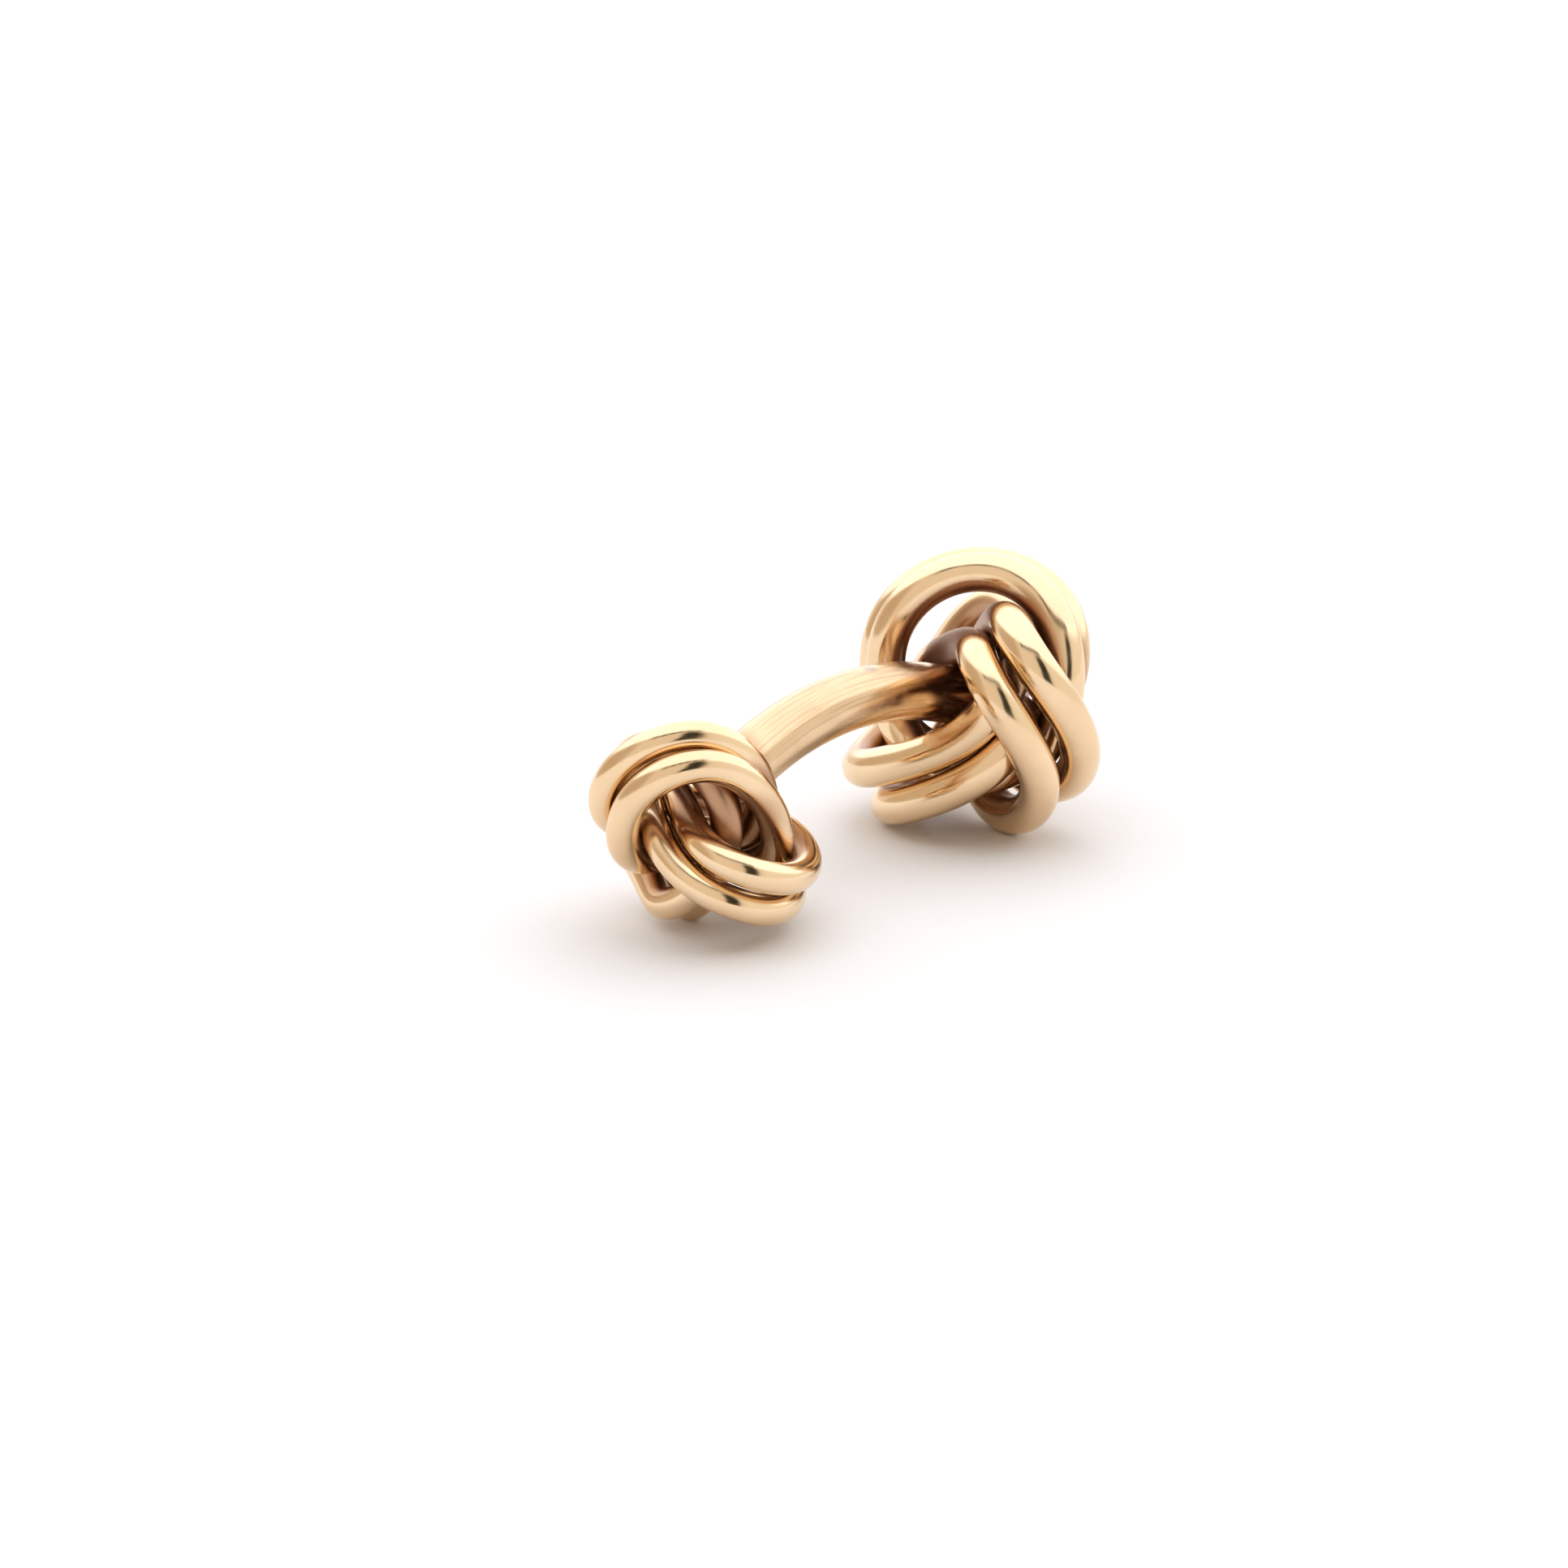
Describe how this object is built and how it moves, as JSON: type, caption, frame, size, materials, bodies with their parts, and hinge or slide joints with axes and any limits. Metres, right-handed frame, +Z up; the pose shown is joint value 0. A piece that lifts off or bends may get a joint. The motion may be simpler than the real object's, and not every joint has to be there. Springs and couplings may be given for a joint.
{
  "type": "double-knot cufflink",
  "caption": "Gold cufflink: a large and a small knot of linked round-wire loops on an arched round bar that the cuff closes around.",
  "frame": {"origin": "centre of the footprint, on the surface that the cufflink lies on", "axes": "+Z up from the surface, +X along the bar from the small knot towards the large knot, +Y to the left of that"},
  "size_m": [0.0286, 0.0136, 0.0124],
  "materials": {
    "loop_gold": "polished yellow gold",
    "bar_gold": "polished yellow gold with fine wear along the bar"
  },
  "bodies": {
    "root": {"large_loop_1a": "loop_gold", "large_loop_1b": "loop_gold", "large_loop_2a": "loop_gold", "large_loop_2b": "loop_gold", "large_loop_3a": "loop_gold", "large_loop_3b": "loop_gold", "small_loop_1a": "loop_gold", "small_loop_1b": "loop_gold", "small_loop_2a": "loop_gold", "small_loop_2b": "loop_gold", "small_loop_3a": "loop_gold", "small_loop_3b": "loop_gold", "cuff_bar": "bar_gold"}
  },
  "joints": []
}
